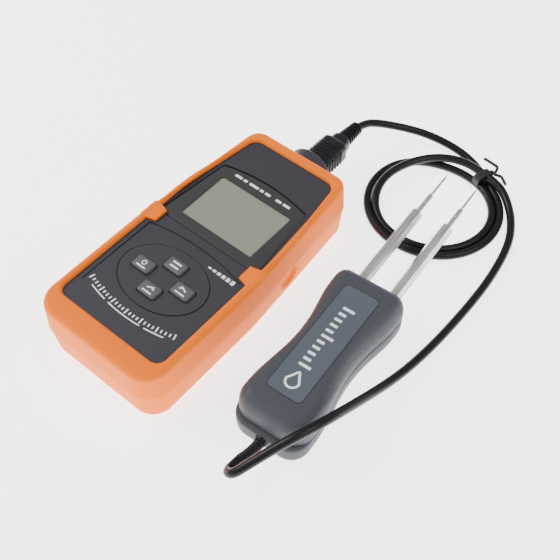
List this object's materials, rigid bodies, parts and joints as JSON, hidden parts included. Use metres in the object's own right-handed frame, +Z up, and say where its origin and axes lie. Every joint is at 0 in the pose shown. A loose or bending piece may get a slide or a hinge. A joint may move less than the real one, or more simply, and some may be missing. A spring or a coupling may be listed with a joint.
{
  "type": "moisture meter",
  "caption": "Handheld pin moisture meter in an orange rubber boot, with a plug-in probe on a coiled lead that has steel rods and needles.",
  "frame": {"origin": "centre of the meter's base, on the plane that the meter and the probe lie on", "axes": "+X across the meter to the right of its display, +Y from the keypad to the probe plug, +Z up out of the display"},
  "size_m": [0.1524, 0.2471, 0.036],
  "materials": {
    "boot_rubber": "soft satin orange rubber",
    "case_plastic": "fine-grained dark grey moulding",
    "display_window": "clear window with a dark border",
    "lcd": "grey-green display glass",
    "white_plastic": "white moulding",
    "grey_rubber": "soft grey rubber",
    "spring_steel": "thin spring steel",
    "key_rubber": "dark grey rubber with white marks",
    "circuit_board": "green solder mask",
    "zinc_steel": "zinc-plated steel",
    "chip_plastic": "black moulding compound",
    "battery_jacket": "blue-grey printed jacket",
    "wire_jacket": "red wire jacket",
    "socket_plastic": "black moulding",
    "plug_plastic": "black soft moulding",
    "nickel_plate": "nickel-plated shell",
    "gold_contacts": "gold-flashed contacts",
    "cord_jacket": "smooth black jacket",
    "tie_plastic": "black plastic-coated wire",
    "handle_plastic": "fine-grained grey moulding",
    "label_film": "blue-grey printed film",
    "rod_steel": "satin stainless steel",
    "needle_steel": "polished steel",
    "holder_plastic": "natural nylon"
  },
  "bodies": {
    "meter": {"rubber_boot": "boot_rubber", "front_case": "case_plastic", "rear_case": "case_plastic", "display_lens": "display_window", "lcd_glass": "lcd", "lcd_holder": "white_plastic", "contact_strips": "grey_rubber", "keypad_mat": "grey_rubber", "snap_domes": "spring_steel", "main_board": "circuit_board", "board_screws": "zinc_steel", "board_chips": "chip_plastic", "buzzer": "chip_plastic", "battery": "battery_jacket", "battery_snap": "chip_plastic", "battery_leads": "wire_jacket", "case_screws": "zinc_steel", "probe_socket": "socket_plastic"},
    "key_power_body": {"key_power": "key_rubber"},
    "key_hold_body": {"key_hold": "key_rubber"},
    "key_unit_body": {"key_unit": "key_rubber"},
    "key_select_body": {"key_select": "key_rubber"},
    "battery_door_body": {"battery_door": "case_plastic"},
    "probe_and_lead": {"plug_body": "plug_plastic", "plug_shell": "nickel_plate", "plug_insulator": "socket_plastic", "plug_contacts": "gold_contacts", "plug_relief": "plug_plastic", "cord_plug_side": "cord_jacket", "cord_coil": "cord_jacket", "cord_tie": "tie_plastic", "cord_probe_side": "cord_jacket", "probe_relief": "plug_plastic", "handle_upper": "handle_plastic", "handle_lower": "handle_plastic", "handle_label": "label_film", "rod_left": "rod_steel", "rod_right": "rod_steel", "rod_holder": "holder_plastic", "rod_terminals": "gold_contacts", "probe_wires": "wire_jacket", "cord_clamp": "holder_plastic", "handle_screws": "zinc_steel"},
    "needle_left_body": {"needle_left": "needle_steel"},
    "needle_right_body": {"needle_right": "needle_steel"}
  },
  "joints": [
    {"name": "key_power_press", "type": "slide", "parent": "meter", "child": "key_power_body", "axis": [0, 0, -1], "range_m": [0, 0.0008], "stiffness_N_per_m": 300},
    {"name": "key_hold_press", "type": "slide", "parent": "meter", "child": "key_hold_body", "axis": [0, 0, -1], "range_m": [0, 0.0008], "stiffness_N_per_m": 300},
    {"name": "key_unit_press", "type": "slide", "parent": "meter", "child": "key_unit_body", "axis": [0, 0, -1], "range_m": [0, 0.0008], "stiffness_N_per_m": 300},
    {"name": "key_select_press", "type": "slide", "parent": "meter", "child": "key_select_body", "axis": [0, 0, -1], "range_m": [0, 0.0008], "stiffness_N_per_m": 300},
    {"name": "battery_door_slide", "type": "slide", "parent": "meter", "child": "battery_door_body", "axis": [0, 1, 0], "range_m": [0, 0.008]},
    {"name": "plug_pull", "type": "slide", "parent": "meter", "child": "probe_and_lead", "axis": [0, 1, 0], "range_m": [0, 0.0135]},
    {"name": "needle_left_unscrew", "type": "hinge", "parent": "probe_and_lead", "child": "needle_left_body", "pos_m": [0.06164, 0.0989, 0.015], "axis": [-0.0814, 0.9967, 0], "continuous": true},
    {"name": "needle_right_unscrew", "type": "hinge", "parent": "probe_and_lead", "child": "needle_right_body", "pos_m": [0.07978, 0.10038, 0.015], "axis": [-0.0814, 0.9967, 0], "continuous": true}
  ]
}
